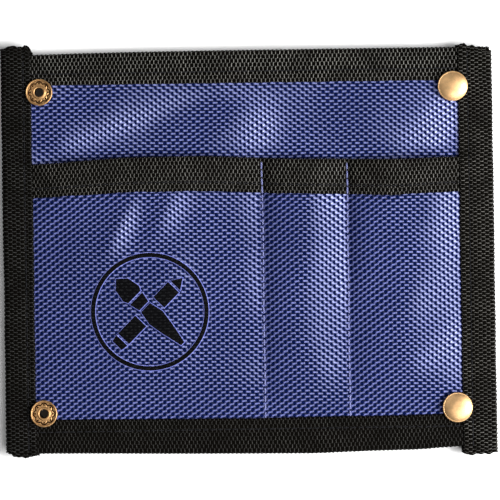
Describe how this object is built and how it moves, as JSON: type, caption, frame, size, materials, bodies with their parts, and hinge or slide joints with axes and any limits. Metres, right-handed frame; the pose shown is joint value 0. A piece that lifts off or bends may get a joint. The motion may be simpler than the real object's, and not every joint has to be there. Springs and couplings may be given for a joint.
{
  "type": "snap wallet case for brushes and tools",
  "caption": "Flat nylon case bound in webbing, with a panel of pockets in front; it folds in half, back to back, and snaps shut.",
  "frame": {"origin": "centre of the case's outline, on the plane under its four snaps", "axes": "+X across the case to the capped side, +Y to the top edge above the pocket mouth, +Z out of the front"},
  "size_m": [0.2046, 0.1738, 0.0122],
  "materials": {
    "nylon_cloth": "coarse shiny plain weave",
    "webbing": "ribbed black webbing",
    "blue_thread": "matte thread",
    "black_thread": "matte thread",
    "print_ink": "black print",
    "antique_brass": "antique, dark in the recesses",
    "satin_brass": "satin",
    "plain_brass": "plain pressed",
    "spring_wire": "plain"
  },
  "bodies": {
    "left_half": {"back_panel_left": "nylon_cloth", "pocket_panel_left": "nylon_cloth", "top_binding_left": "webbing", "bottom_binding_left": "webbing", "mouth_binding_left": "webbing", "left_binding": "webbing", "edge_thread_left": "black_thread", "mouth_thread_left": "black_thread", "emblem_print": "print_ink", "upper_post": "antique_brass", "upper_stud": "plain_brass", "lower_post": "antique_brass", "lower_stud": "plain_brass"},
    "right_half": {"back_panel_right": "nylon_cloth", "pocket_panel_right": "nylon_cloth", "top_binding_right": "webbing", "bottom_binding_right": "webbing", "mouth_binding_right": "webbing", "right_binding": "webbing", "edge_thread_right": "black_thread", "mouth_thread_right": "black_thread", "left_divider_thread": "blue_thread", "right_divider_thread": "blue_thread", "upper_cap": "satin_brass", "upper_rivet": "plain_brass", "upper_socket": "plain_brass", "upper_ring_spring": "spring_wire", "lower_cap": "satin_brass", "lower_rivet": "plain_brass", "lower_socket": "plain_brass", "lower_ring_spring": "spring_wire"}
  },
  "joints": [
    {"name": "fold", "type": "hinge", "parent": "left_half", "child": "right_half", "pos_m": [0, 0, 0.001], "axis": [0, 1, 0], "range_deg": [0, 180]}
  ]
}
